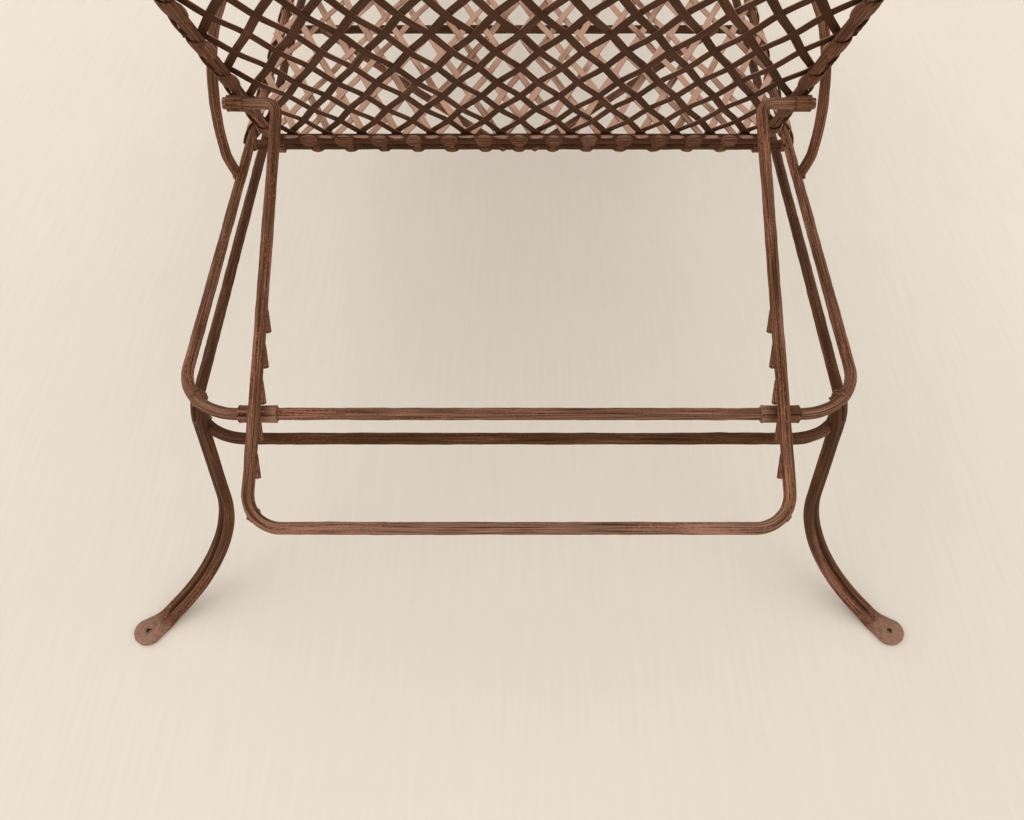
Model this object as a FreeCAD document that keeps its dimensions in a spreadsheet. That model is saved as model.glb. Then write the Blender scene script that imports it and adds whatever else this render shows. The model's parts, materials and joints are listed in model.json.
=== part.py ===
import FreeCAD, Part
import math
import os

# Iron garden chaise longue: +Z up, foot end at +Y, head end at -Y, origin on the floor at the middle.

# Driving dimensions in millimetres and degrees
SIZES = [
    ("rail_dia", 12.0),
    ("frame_half_width", 320.0),
    ("frame_half_length", 735.0),
    ("frame_corner_radius", 57.0),
    ("rail_height", 302.0),
    ("rail_spacing", 39.0),
    ("hinge_from_head", 404.0),
    ("crossbar_from_head", 720.0),
    ("brace_dia", 10.0),
    ("brace_gap", 28.0),
    ("brace_inset", 30.0),
    ("leg_rod_dia", 11.0),
    ("leg_rod_pitch", 10.4),
    ("leg_splay", 41.5),
    ("leg_top_offset", 3.0),
    ("leg_lean", 3.7),
    ("leg_bend_radius", 156.0),
    ("leg_bend_angle", 69.0),
    ("leg_run_out", 12.0),
    ("leg_seat_gap", 0.1),
    ("foot_width", 33.0),
    ("foot_heel_width", 17.0),
    ("foot_length", 53.0),
    ("foot_thickness", 5.0),
    ("foot_hole_dia", 5.0),
    ("arm_dia", 12.0),
    ("arm_bend_radius", 100.0),
    ("arm_straight", 208.0),
    ("arm_rear_setback", 53.0),
    ("arm_rest_height", 142.0),
    ("arm_foot_drop", 5.0),
    ("collar_dia", 17.0),
    ("collar_length", 36.0),
    ("back_angle", 54.7),
    ("back_half_width", 285.0),
    ("back_row_height", 75.0),
    ("back_rows", 9),
    ("back_columns", 14),
    ("back_corner_radius", 90.0),
    ("back_rail_offset", 22.0),
    ("eye_dia", 19.0),
    ("eye_length", 14.0),
    ("running_clearance", 0.08),
    ("seat_rows", 12),
    ("seat_columns", 16),
    ("strap_width", 8.5),
    ("strap_thickness", 2.0),
    ("strap_overhang", 5.0),
    ("seat_gap", 0.1),
    ("wrap_width", 12.0),
    ("prop_dia", 12.0),
    ("prop_half_width", 243.0),
    ("prop_pivot_up_back", 178.0),
    ("prop_tail", 109.0),
    ("prop_corner_radius", 32.0),
    ("prop_elbow_radius", 12.0),
    ("sleeve_dia", 19.0),
    ("sleeve_length", 16.0),
    ("journal_overhang", 4.0),
    ("prop_clearance", 0.3),
    ("tooth_pitch", 35.0),
    ("tooth_count", 5),
    ("tooth_depth", 4.5),
    ("tooth_ramp", 22.0),
    ("tooth_width", 7.0),
    ("tooth_turn", 45.0),
]

doc = FreeCAD.newDocument("garden_chaise")
sheet = doc.addObject("Spreadsheet::Sheet", "Sizes")
for row, (alias, value) in enumerate(SIZES, 1):
    sheet.set("A%d" % row, alias)
    sheet.set("B%d" % row, str(value))
    sheet.setAlias("B%d" % row, alias)
doc.recompute()


def size(alias):
    return float(sheet.get(alias))


V = FreeCAD.Vector
X_AXIS = V(1, 0, 0)
Y_AXIS = V(0, 1, 0)
Z_AXIS = V(0, 0, 1)
subparts = []


def keep(obj, label):
    obj.Label = label
    subparts.append(obj)
    return obj


# Paths: straight runs joined by tangent arcs
def rounded_edges(points, radii, closed=False):
    count = len(points)
    corners = []
    for i, (point, radius) in enumerate(zip(points, radii)):
        if not closed and i in (0, count - 1):
            corners.append((point, point, None))
            continue
        back = (points[i - 1] - point).normalize()
        ahead = (points[(i + 1) % count] - point).normalize()
        half = back.getAngle(ahead) / 2
        reach = radius / math.tan(half)
        middle = (back + ahead).normalize()
        top = point + middle * (radius / math.sin(half) - radius)
        corners.append((point + back * reach, point + ahead * reach, top))
    edges = []
    for i, (enter, leave, top) in enumerate(corners):
        if top is not None:
            edges.append(Part.Arc(enter, top, leave).toShape())
        if i + 1 < count or closed:
            edges.append(Part.LineSegment(leave, corners[(i + 1) % count][0]).toShape())
    return edges


def rod(label, edges, dia_alias):
    wire = Part.Wire(edges)
    path = doc.addObject("Part::Feature", label + "_path")
    path.Shape = wire
    first = wire.OrderedEdges[0]
    start = first.valueAt(first.FirstParameter)
    along = first.tangentAt(first.FirstParameter)
    if first.Orientation == "Reversed":
        start = first.valueAt(first.LastParameter)
        along = first.tangentAt(first.LastParameter) * -1
    section = doc.addObject("Part::Circle", label + "_section")
    section.setExpression("Radius", "Sizes.%s / 2" % dia_alias)
    section.Placement = FreeCAD.Placement(start, FreeCAD.Rotation(Z_AXIS, along))
    sweep = doc.addObject("Part::Sweep", label)
    sweep.Sections = [section]
    sweep.Spine = (path, ["Edge%d" % (i + 1) for i in range(len(wire.Edges))])
    sweep.Solid = True
    sweep.Frenet = False
    return sweep


def cylinder(label, radius, height, base, direction):
    bar = doc.addObject("Part::Cylinder", label)
    bar.setExpression("Radius", radius)
    bar.setExpression("Height", height)
    bar.Placement = FreeCAD.Placement(base, FreeCAD.Rotation(Z_AXIS, direction))
    return bar


def tube(label, outer, inner, length, base, direction):
    outside = cylinder(label + "_outside", outer, length, base, direction)
    bore = cylinder(label + "_bore", inner, length, base, direction)
    cut = doc.addObject("Part::Cut", label)
    cut.Base = outside
    cut.Tool = bore
    return cut


def feature(label, shape):
    obj = doc.addObject("Part::Feature", label)
    obj.Shape = shape
    return obj


rail_r = size("rail_dia") / 2
half_w = size("frame_half_width")
half_l = size("frame_half_length")
rail_z = size("rail_height")
low_z = rail_z - size("rail_spacing")
hinge_y = size("hinge_from_head") - half_l
cross_y = size("crossbar_from_head") - half_l


# Frame: two closed rails, one over the other
def rail_edges(z):
    corners = [V(half_w, -half_l, z), V(half_w, half_l, z), V(-half_w, half_l, z), V(-half_w, -half_l, z)]
    return rounded_edges(corners, [size("frame_corner_radius")] * len(corners), True)


keep(rod("upper_rail", rail_edges(rail_z), "rail_dia"), "upper_rail")
keep(rod("lower_rail", rail_edges(low_z), "rail_dia"), "lower_rail")


# Cross bars butt against the inside of the side rails
def cross_rod(label, y, z):
    height = "2 * Sizes.frame_half_width - Sizes.rail_dia"
    return keep(cylinder(label, "Sizes.rail_dia / 2", height, V(rail_r - half_w, y, z), X_AXIS), label)


hinge_rail = cross_rod("hinge_rail", hinge_y, rail_z)
mid_crossbar = cross_rod("mid_crossbar", cross_y, low_z)

# Slanted braces from the ends of the crossbar up to the middle of the hinge rail, coped at both ends
BRACE_LENGTH = ("sqrt((Sizes.frame_half_width - Sizes.brace_inset - Sizes.brace_gap / 2)^2 + "
                "(Sizes.crossbar_from_head - Sizes.hinge_from_head)^2 + Sizes.rail_spacing^2)")
brace_tools = doc.addObject("Part::MultiFuse", "brace_tools")
brace_tools.Shapes = [hinge_rail, mid_crossbar]
for side, name in ((-1, "brace_left"), (1, "brace_right")):
    low = V(side * (half_w - size("brace_inset")), cross_y, low_z)
    high = V(side * size("brace_gap") / 2, hinge_y, rail_z)
    bar = cylinder(name + "_bar", "Sizes.brace_dia / 2", BRACE_LENGTH, low, high - low)
    coped = doc.addObject("Part::Cut", name)
    coped.Base = bar
    coped.Tool = brace_tools
    keep(coped, name)


# Legs: two rods side by side under the upper rail, notched round the lower one, forged into a flat foot
notch_path = Part.Wire(rail_edges(low_z))
notch_start = notch_path.OrderedEdges[0]
notch_circle = Part.Circle(notch_start.valueAt(notch_start.FirstParameter),
                           notch_start.tangentAt(notch_start.FirstParameter), rail_r + size("leg_seat_gap"))
notch = notch_path.makePipeShell([Part.Wire([notch_circle.toShape()])], True, False)


def leg(label, side_x, side_y):
    splay = math.radians(size("leg_splay"))
    out = V(side_x * math.cos(splay), side_y * math.sin(splay), 0)
    across = V(-out.y, out.x, 0)
    rod_r = size("leg_rod_dia") / 2
    corner_r = size("frame_corner_radius")
    centre = V(side_x * (half_w - corner_r), side_y * (half_l - corner_r), 0)
    spread = size("leg_rod_pitch") / 2
    lean = math.radians(size("leg_lean"))
    bend = math.radians(size("leg_bend_angle"))
    radius = size("leg_bend_radius")
    run_out = size("leg_run_out")
    end_z = rod_r
    start = corner_r + size("leg_top_offset")
    top_z = rail_z - rail_r - size("leg_seat_gap") + size("leg_top_offset") * math.tan(lean)
    bend_end_z = end_z + run_out * math.cos(bend)
    bend_top_z = bend_end_z + radius * (math.sin(bend) - math.sin(lean))
    bend_start = start + (top_z - bend_top_z) * math.tan(lean)
    foot_start = bend_start + radius * (math.cos(lean) - math.cos(bend))
    middle = (lean + bend) / 2
    middle_r = bend_start + radius * (math.cos(lean) - math.cos(middle))
    middle_z = bend_top_z - radius * (math.sin(middle) - math.sin(lean))

    def at(r, z, offset):
        return centre + out * r + across * offset + V(0, 0, z)

    rods = []
    for offset in (-spread, spread):
        a = at(start, top_z, offset)
        b = at(bend_start, bend_top_z, offset)
        m = at(middle_r, middle_z, offset)
        c = at(foot_start, bend_end_z, offset)
        d = c + out * (run_out * math.sin(bend)) + V(0, 0, end_z - bend_end_z)
        wire = Part.Wire([Part.LineSegment(a, b).toShape(), Part.Arc(b, m, c).toShape(),
                          Part.LineSegment(c, d).toShape()])
        circle = Part.Wire([Part.Circle(a, b - a, rod_r).toShape()])
        rods.append(wire.makePipeShell([circle], True, False))
    wide = size("foot_width") / 2
    heel = size("foot_heel_width") / 2
    toe = foot_start + size("foot_length") - wide
    p1 = at(foot_start, 0, -heel)
    p2 = at(toe, 0, -wide)
    p3 = at(toe + wide, 0, 0)
    p4 = at(toe, 0, wide)
    p5 = at(foot_start, 0, heel)
    outline = Part.Wire([Part.LineSegment(p1, p2).toShape(), Part.Arc(p2, p3, p4).toShape(),
                         Part.LineSegment(p4, p5).toShape(), Part.LineSegment(p5, p1).toShape()])
    pad = Part.Face(outline).extrude(V(0, 0, size("foot_thickness")))
    hole = Part.makeCylinder(size("foot_hole_dia") / 2, size("foot_thickness"), at(toe, 0, 0))
    shape = rods[0].fuse([rods[1], pad]).cut([hole, notch])
    return keep(feature(label, shape.removeSplitter()), label)


for side_y, end in ((-1, "head"), (1, "foot")):
    for side_x, hand in ((-1, "left"), (1, "right")):
        leg("leg_%s_%s" % (end, hand), side_x, side_y)


# Arm rests: hoops whose posts are welded to the outside of the upper rail
def arm(label, side):
    x = side * (half_w + rail_r + size("arm_dia") / 2 + size("leg_seat_gap"))
    bend = size("arm_bend_radius")
    rear_y = hinge_y - size("arm_rear_setback")
    front_y = rear_y + size("arm_straight") + 2 * bend
    low = rail_z - size("arm_foot_drop")
    high = rail_z + size("arm_rest_height")
    points = [V(x, rear_y, low), V(x, rear_y, high), V(x, front_y, high), V(x, front_y, low)]
    return keep(rod(label, rounded_edges(points, [bend] * len(points)), "arm_dia"), label)


arm("arm_left", -1)
arm("arm_right", 1)

# Collars: sleeves on the head end's upper rail that the prop's teeth catch on
for side, name in ((-1, "collar_left"), (1, "collar_right")):
    base = V(side * size("prop_half_width") - size("collar_length") / 2, -half_l, rail_z)
    keep(tube(name, "Sizes.collar_dia / 2", "Sizes.rail_dia / 2", "Sizes.collar_length", base, X_AXIS), name)


# Lattices: straps laid in two layers over the rails, held by a U-shaped wrap at each fold
def lattice_lines(half_width, length, columns, rows, corner):
    step_x = 2 * half_width / columns
    step_y = length / rows
    slope = step_y / step_x
    starts = [(-half_width + (i + 0.5) * step_x, 0.0) for i in range(columns)]
    starts += [(-half_width, (j + 0.5) * step_y) for j in range(rows)]
    lines = []
    for x0, y0 in starts:
        x1 = min(half_width, x0 + (length - y0) / slope)
        y1 = y0 + (x1 - x0) * slope
        middle = ((x0 + x1) / 2, (y0 + y1) / 2)
        if past_corner(middle, half_width, length, corner) < -size("strap_width"):
            lines.append(((x0, y0), (x1, y1)))
    return [(cut_corner(a, b, half_width, length, corner), cut_corner(b, a, half_width, length, corner))
            for a, b in lines]


# How far a place lies outside the arc of a rounded far corner, or less than nothing inside it
def past_corner(place, half_width, length, corner):
    inset_x = abs(place[0]) - half_width + corner
    inset_y = place[1] - length + corner
    if inset_x <= 0 or inset_y <= 0:
        return -corner
    return math.hypot(inset_x, inset_y) - corner


# An end that falls outside a rounded far corner is drawn back to the corner's arc
def cut_corner(end, other, half_width, length, corner):
    cx = math.copysign(half_width - corner, end[0])
    cy = length - corner
    if past_corner(end, half_width, length, corner) <= 0:
        return end
    dx, dy = end[0] - other[0], end[1] - other[1]
    ox, oy = other[0] - cx, other[1] - cy
    a = dx * dx + dy * dy
    b = ox * dx + oy * dy
    c = ox * ox + oy * oy - corner * corner
    t = (-b + math.sqrt(b * b - a * c)) / a
    return (other[0] + t * dx, other[1] + t * dy)


def strap(a, b, bottom, start_gap, end_gap):
    run = math.hypot(b[0] - a[0], b[1] - a[1])
    angle = math.degrees(math.atan2(b[1] - a[1], b[0] - a[0]))
    length = run - start_gap - end_gap
    bar = Part.makeBox(length, size("strap_width"), size("strap_thickness"),
                       V(start_gap, -size("strap_width") / 2, bottom))
    bar.Placement = FreeCAD.Placement(V(a[0], a[1], 0), FreeCAD.Rotation(Z_AXIS, angle))
    return bar


def wrap(x, y, tangent):
    inner = rail_r + size("seat_gap")
    outer = inner + size("strap_thickness")
    width = size("wrap_width")
    points = [V(-width / 2, -outer, rail_r), V(-width / 2, -outer, 0), V(-width / 2, 0, -outer),
              V(-width / 2, outer, 0), V(-width / 2, outer, rail_r), V(-width / 2, inner, rail_r),
              V(-width / 2, inner, 0), V(-width / 2, 0, -inner), V(-width / 2, -inner, 0),
              V(-width / 2, -inner, rail_r)]
    edges = [Part.LineSegment(points[0], points[1]), Part.Arc(points[1], points[2], points[3]),
             Part.LineSegment(points[3], points[4]), Part.LineSegment(points[4], points[5]),
             Part.LineSegment(points[5], points[6]), Part.Arc(points[6], points[7], points[8]),
             Part.LineSegment(points[8], points[9]), Part.LineSegment(points[9], points[0])]
    solid = Part.Face(Part.Wire([e.toShape() for e in edges])).extrude(V(width, 0, 0))
    solid.Placement = FreeCAD.Placement(V(x, y, 0), FreeCAD.Rotation(X_AXIS, V(tangent[0], tangent[1], 0)))
    return solid


def lattice(prefix, half_width, length, columns, rows, corner, placement, clear_half_width):
    lines = lattice_lines(half_width, length, columns, rows, corner)
    under = rail_r + size("seat_gap")
    over = under + size("strap_thickness") + size("seat_gap")
    reach = -size("strap_overhang")
    keep_off = size("eye_dia")

    def end_gap(point):
        near_eye = point[1] < rail_r and abs(point[0]) > clear_half_width
        return keep_off if near_eye else reach

    layers = {"under": [], "over": []}
    for a, b in lines:
        layers["under"].append(strap(a, b, under, end_gap(a), end_gap(b)))
        left, right = (-a[0], a[1]), (-b[0], b[1])
        layers["over"].append(strap(left, right, over, end_gap(left), end_gap(right)))
    for layer, solids in layers.items():
        label = "%s_straps_%s" % (prefix, layer)
        obj = feature(label, Part.makeCompound(solids))
        obj.Placement = placement
        keep(obj, label)
    wraps = []
    step_x = 2 * half_width / columns
    step_y = length / rows
    for i in range(1, columns):
        x = -half_width + i * step_x
        if abs(x) < clear_half_width:
            wraps.append(wrap(x, 0, (1, 0)))
        if abs(x) < half_width - corner:
            wraps.append(wrap(x, length, (1, 0)))
    for j in range(rows):
        y = (j + 0.5) * step_y
        if y < length - corner:
            wraps += [wrap(side * half_width, y, (0, 1)) for side in (-1, 1)]
    label = prefix + "_wraps"
    obj = feature(label, Part.makeCompound(wraps))
    obj.Placement = placement
    keep(obj, label)


eye_inside = size("back_half_width") - size("eye_length")
seat_length = half_l - hinge_y
lattice("seat", half_w, seat_length, int(size("seat_columns")), int(size("seat_rows")),
        size("frame_corner_radius"), FreeCAD.Placement(V(0, hinge_y, rail_z), FreeCAD.Rotation()),
        eye_inside - size("wrap_width"))

# Back: local axes are x across, y up the slope from the hinge axis, z towards the sitter
back_w = size("back_half_width")
back_length = size("back_rows") * size("back_row_height")
back_low = size("back_rail_offset")
back_top = back_low + back_length
back_place = FreeCAD.Placement(V(0, hinge_y, rail_z), FreeCAD.Rotation(X_AXIS, 180 - size("back_angle"))
                               * FreeCAD.Rotation(Y_AXIS, 180))


def on_back(x, up, out):
    return back_place.multVec(V(-x, up, out))


rail_end = size("eye_dia") / 2
outline = [on_back(-back_w, rail_end, 0), on_back(-back_w, back_top, 0), on_back(back_w, back_top, 0),
           on_back(back_w, rail_end, 0)]
outline_edges = rounded_edges(outline, [size("back_corner_radius")] * len(outline))
keep(rod("back_frame", outline_edges, "rail_dia"), "back_frame")
keep(cylinder("back_bottom_rail", "Sizes.rail_dia / 2", "2 * Sizes.back_half_width - Sizes.rail_dia",
              on_back(rail_r - back_w, back_low, 0), X_AXIS), "back_bottom_rail")
lattice("back", back_w, back_length, int(size("back_columns")), int(size("back_rows")),
        size("back_corner_radius"), FreeCAD.Placement(on_back(0, back_low, 0), back_place.Rotation), back_w)

# Hinge eyes turn on the hinge rail, prop sleeves hang under the back's side rails
pivot_up = size("prop_pivot_up_back")
pivot_drop = rail_r + size("sleeve_dia") / 2
for side, hand in ((-1, "left"), (1, "right")):
    base = on_back(side * back_w, 0, 0) - X_AXIS * (size("eye_length") / 2)
    keep(tube("hinge_eye_" + hand, "Sizes.eye_dia / 2", "Sizes.rail_dia / 2 + Sizes.running_clearance",
              "Sizes.eye_length", base, X_AXIS), "hinge_eye_" + hand)
    base = on_back(side * back_w, pivot_up, -pivot_drop) - X_AXIS * (size("sleeve_length") / 2)
    keep(tube("prop_sleeve_" + hand, "Sizes.sleeve_dia / 2", "Sizes.prop_dia / 2 + Sizes.running_clearance",
              "Sizes.sleeve_length", base, X_AXIS), "prop_sleeve_" + hand)

# Prop: a bail that hangs in the sleeves and rests on the collars
prop_r = size("prop_dia") / 2
prop_w = size("prop_half_width")
pivot = on_back(0, pivot_up, -pivot_drop)
collar = V(0, -half_l, rail_z)
to_collar = collar - pivot
stand_off = size("collar_dia") / 2 + prop_r + size("prop_clearance")
contact_run = math.sqrt(to_collar.Length ** 2 - stand_off ** 2)
arm_angle = math.atan2(-to_collar.z, -to_collar.y) - math.asin(stand_off / to_collar.Length)
along_arm = V(0, -math.cos(arm_angle), -math.sin(arm_angle))
below_arm = V(0, math.sin(arm_angle), -math.cos(arm_angle))
tail = pivot + along_arm * (contact_run + size("prop_tail"))
journal = X_AXIS * (back_w + size("sleeve_length") / 2 + size("journal_overhang"))
elbow = X_AXIS * prop_w
bends = [size("prop_elbow_radius"), size("prop_corner_radius")]
bail = [pivot - journal, pivot - elbow, tail - elbow, tail + elbow, pivot + elbow, pivot + journal]
bail_edges = rounded_edges(bail, [0] + bends + bends[::-1] + [0])
keep(rod("prop_bail", bail_edges, "prop_dia"), "prop_bail")

# Racks: saw teeth on the lower inner quarter of each arm, the middle step against the front of its collar
turn = math.radians(size("tooth_turn"))
wide = size("tooth_width")
root_r = prop_r + size("seat_gap")
tip_fall = (root_r + size("tooth_depth")) * math.cos(turn) + wide / 2 * math.sin(turn)
chord = math.sqrt((size("collar_dia") / 2) ** 2 - (stand_off - tip_fall) ** 2)
middle_step = contact_run - chord - size("prop_clearance")
count = int(size("tooth_count"))
for side, name in ((-1, "rack_left"), (1, "rack_right")):
    outward = X_AXIS * side
    depth_way = below_arm * math.cos(turn) - outward * math.sin(turn)
    width_way = below_arm * math.sin(turn) + outward * math.cos(turn)
    root = pivot + outward * prop_w + depth_way * root_r - width_way * (wide / 2)
    teeth = []
    for k in range(count):
        step = middle_step + (k - (count - 1) / 2) * size("tooth_pitch")
        p1 = root + along_arm * (step - size("tooth_ramp"))
        p2 = root + along_arm * step
        p3 = p2 + depth_way * size("tooth_depth")
        face = Part.Face(Part.makePolygon([p1, p2, p3, p1]))
        teeth.append(face.extrude(width_way * wide))
    keep(feature(name, Part.makeCompound(teeth)), name)

doc.recompute()
for obj in doc.Objects:
    if "Invalid" in obj.State or "Error" in obj.State:
        raise RuntimeError("%s failed: %s" % (obj.Name, obj.State))
os.makedirs("parts", exist_ok=True)
for obj in subparts:
    if obj.Shape.isNull() or not obj.Shape.isValid() or not obj.Shape.Solids:
        raise RuntimeError("%s has no valid solid" % obj.Label)
    obj.Shape.exportStep("parts/%s.step" % obj.Label)
    print(obj.Label, len(obj.Shape.Solids), round(obj.Shape.Volume))
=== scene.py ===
import json
from math import copysign, cos, hypot, pi, radians, sin, sqrt, tan, tau

import bpy
from bpy.props import FloatProperty, FloatVectorProperty, IntProperty, PointerProperty
from bpy.types import Operator, Panel, PropertyGroup
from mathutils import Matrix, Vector, noise


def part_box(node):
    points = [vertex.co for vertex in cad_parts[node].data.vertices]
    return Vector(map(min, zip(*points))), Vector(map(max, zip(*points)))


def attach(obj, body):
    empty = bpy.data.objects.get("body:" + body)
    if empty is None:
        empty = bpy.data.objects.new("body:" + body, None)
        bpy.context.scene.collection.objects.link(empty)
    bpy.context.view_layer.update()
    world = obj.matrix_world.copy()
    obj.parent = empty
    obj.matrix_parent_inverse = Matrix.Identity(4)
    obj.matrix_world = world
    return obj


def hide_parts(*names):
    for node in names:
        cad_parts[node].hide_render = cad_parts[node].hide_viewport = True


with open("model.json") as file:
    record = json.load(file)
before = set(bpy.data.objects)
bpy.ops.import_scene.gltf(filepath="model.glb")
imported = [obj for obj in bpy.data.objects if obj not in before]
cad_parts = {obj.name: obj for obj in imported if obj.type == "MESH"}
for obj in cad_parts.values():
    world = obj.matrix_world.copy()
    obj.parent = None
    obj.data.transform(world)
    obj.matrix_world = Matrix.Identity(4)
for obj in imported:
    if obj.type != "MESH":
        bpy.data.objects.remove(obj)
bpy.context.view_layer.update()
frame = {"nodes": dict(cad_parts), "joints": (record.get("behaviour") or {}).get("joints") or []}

bl_info = {
    "name": "Iron garden chaise longue",
    "version": (1, 0, 0),
    "blender": (4, 5, 0),
    "location": "View3D > Sidebar > Chaise",
    "description": "Forged rods, woven straps and rust of an iron garden chaise longue",
    "category": "Add Mesh",
}

MM = 0.001
UP = Vector((0, 0, 1))
ACROSS = Vector((1, 0, 0))
SIDES = ((-1, "left"), (1, "right"))

# Spacing of the points along a rod, fewest steps of an arc and distance at which points are joined
PATH_STEP, ARC_LEAST, SEAM = 3.5 * MM, 4, 0.002 * MM


def middle(node):
    """Centre of a node's box."""
    low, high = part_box(node)
    return (low + high) / 2


def joint_place(name):
    """Point on a joint's axis."""
    return Vector(next(j["pos_m"] for j in frame["joints"] if j["name"] == name))


# Places read from the frame
RAIL_R = (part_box("hinge_rail")[1].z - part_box("hinge_rail")[0].z) / 2
HALF_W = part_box("upper_rail")[1].x - RAIL_R
HALF_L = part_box("upper_rail")[1].y - RAIL_R
RAIL_Z = middle("upper_rail").z
LOW_Z = middle("lower_rail").z
HINGE = joint_place("back_hinge")
PIVOT = joint_place("prop_pivot")
CROSS_Y = middle("mid_crossbar").y
BACK_HALF_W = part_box("back_frame")[1].x - RAIL_R
PROP_HALF_W = middle("collar_right").x


# Kinds of settings
def millimetres(name, description, size):
    return FloatProperty(name=name, description=description, default=size * MM, unit="LENGTH")


def degrees(name, description, angle):
    return FloatProperty(name=name, description=description, default=radians(angle), subtype="ANGLE")


def number(name, description, count):
    return IntProperty(name=name, description=description, default=count)


def colour(name, description, tone):
    return FloatVectorProperty(name=name, description=description, default=tone, subtype="COLOR")


class ChaiseSizes(PropertyGroup):
    """Sizes of the forged pieces, in millimetres and degrees."""

    frame_corner: millimetres("Frame corner", "Radius of the side rails' corners", 57)
    back_angle: degrees("Back angle", "Slope of the back at rest", 54.7)
    back_corner: millimetres("Back corner", "Radius of the back's top corners", 90)
    back_row: millimetres("Back row", "Height of one diamond of the back", 75)
    back_rows: number("Back rows", "Diamonds up the back", 9)
    back_columns: number("Back columns", "Diamonds across the back", 14)
    back_foot: millimetres("Back foot", "Bottom rail's distance from the hinge", 22)
    seat_rows: number("Seat rows", "Diamonds along the seat", 12)
    seat_columns: number("Seat columns", "Diamonds across the seat", 16)
    strap_width: millimetres("Strap width", "Width of the flat straps", 8.5)
    strap_thick: millimetres("Strap thickness", "Thickness of the flat straps", 1.9)
    strap_level: millimetres("Strap level", "Height of the weave over the rails' axes", 8.15)
    weave_rise: millimetres("Weave rise", "How far a strap rises over a crossing one", 1.05)
    bark_depth: millimetres("Bark depth", "Depth of the forged grain on the rods", 0.75)
    leg_rod: millimetres("Leg rod", "Radius of each of a leg's two rods", 5.5)
    leg_pitch: millimetres("Leg pitch", "Distance between a leg's two rods", 10.4)
    leg_splay: degrees("Leg splay", "Way a leg points, from across the frame", 41.5)
    leg_lean: degrees("Leg lean", "Lean of the leg's straight upper part", 3.7)
    leg_offset: millimetres("Leg offset", "Leg's top outside the rail's axis", 3)
    leg_neck: millimetres("Leg neck", "Stretch at the top where a leg draws in to the rail", 32)
    leg_bend: millimetres("Leg bend", "Radius of the leg's sweep", 156)
    leg_turn: degrees("Leg turn", "Angle of the leg's sweep", 69)
    leg_run_out: millimetres("Leg run-out", "Straight stretch after the sweep", 12)
    foot_length: millimetres("Foot length", "Length of the forged pad", 53)
    foot_width: millimetres("Foot width", "Width of the forged pad", 33)
    foot_thick: millimetres("Foot thickness", "Thickness of the forged pad", 5)
    nail_hole: millimetres("Nail hole", "Radius of the hole in each foot", 2.5)
    arm_bend: millimetres("Arm bend", "Radius of the arm rests' bends", 100)
    prop_corner: millimetres("Prop corner", "Radius of the prop's tail corners", 32)
    prop_elbow: millimetres("Prop elbow", "Radius where the prop's arms turn out", 12)
    tooth_pitch: millimetres("Tooth pitch", "Distance between the prop's notches", 35)
    tooth_ramp: millimetres("Tooth ramp", "Length of one saw tooth", 22)
    tooth_turn: degrees("Tooth turn", "Way the teeth point, from under the arm inwards", 45)
    tooth_count: number("Teeth", "Saw teeth on each arm of the prop", 5)


class ChaiseColours(PropertyGroup):
    """Colours of the rusted iron and of the floor."""

    shade: colour("Shade", "Darkest rust, down in the grain", (0.044, 0.0165, 0.0055))
    body: colour("Body", "Main brown of the rods", (0.250, 0.109, 0.058))
    rust: colour("Rust", "Red rust flecks", (0.330, 0.105, 0.052))
    bloom: colour("Bloom", "Pale dry bloom on the ridges", (0.490, 0.288, 0.202))
    floor: colour("Floor", "Pale floor", (0.865, 0.775, 0.665))


def sizes():
    return bpy.context.scene.chaise_sizes


def colours():
    return bpy.context.scene.chaise_colours


class Shade:
    """A socket of a node tree. Operators between sockets and numbers add Math nodes."""

    def __init__(self, tree, socket=None):
        self.tree = tree
        self.socket = socket

    def node(self, kind, settings=None, inputs=None, output=0):
        """Adds a node, sets it up, fills its sockets with values or links, and gives an output."""
        made = self.tree.nodes.new(kind)
        for key, value in (settings or {}).items():
            setattr(made, key, value)
        for key, value in (inputs or {}).items():
            if isinstance(value, Shade):
                self.tree.links.new(value.socket, made.inputs[key])
            else:
                made.inputs[key].default_value = value
        return Shade(self.tree, made.outputs[output])

    def __add__(self, other):
        return self.node("ShaderNodeMath", {"operation": "ADD"}, {0: self, 1: other})

    __radd__ = __add__

    def __mul__(self, other):
        return self.node("ShaderNodeMath", {"operation": "MULTIPLY"}, {0: self, 1: other})

    __rmul__ = __mul__

    def clouds(self, waves, detail, roughness):
        """Noise over a vector with so many waves per metre on each axis, about 0.5 on average."""
        scaled = self.node("ShaderNodeVectorMath", {"operation": "MULTIPLY"}, {0: self, 1: waves})
        values = {"Vector": scaled, "Scale": 1.0, "Detail": detail, "Roughness": roughness}
        return self.node("ShaderNodeTexNoise", None, values)

    def step(self, low, high):
        """0 below low, 1 above high and smooth between."""
        values = {"Value": self, "From Min": low, "From Max": high}
        return self.node("ShaderNodeMapRange", {"interpolation_type": "SMOOTHSTEP"}, values)

    def tint(self, first, second):
        """A colour between two. The Mix node takes colours at sockets 6 and 7 and gives one at 2."""
        pair = [c if isinstance(c, Shade) else (*c, 1.0) for c in (first, second)]
        return self.node("ShaderNodeMix", {"data_type": "RGBA"}, {0: self, 6: pair[0], 7: pair[1]}, 2)


# Textures of the rust: waves per metre along the grain and across it, detail and roughness
STREAK = (15, 860, 860), 4, 0.55
PATCH = (13, 55, 55), 3, 0.5
FLECK = (340, 640, 640), 3, 0.6
PITS = (620, 760, 760), 3, 0.6

# Where each texture starts to show and where it is full
PIT_RANGE, RED_RANGE = (0.54, 0.66), (1.02, 1.1)
RIDGE_RANGE, WORN_RANGE = (0.84, 1.06), (0.36, 0.72)

# Strength of the pits, the red flecks, the pale wear and painted light, the dark dirt and painted shade,
# the bump and the reflections
PIT_DEPTH, RED_DEPTH, WEAR_AND_LIGHT_GAIN, DIRT_AND_SHADE_DEPTH = 0.75, 0.85, 1.15, 0.85
BUMP_STRENGTH, BUMP_DEPTH, SHINE = 0.9, 1.3 * MM, 0.1

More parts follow.
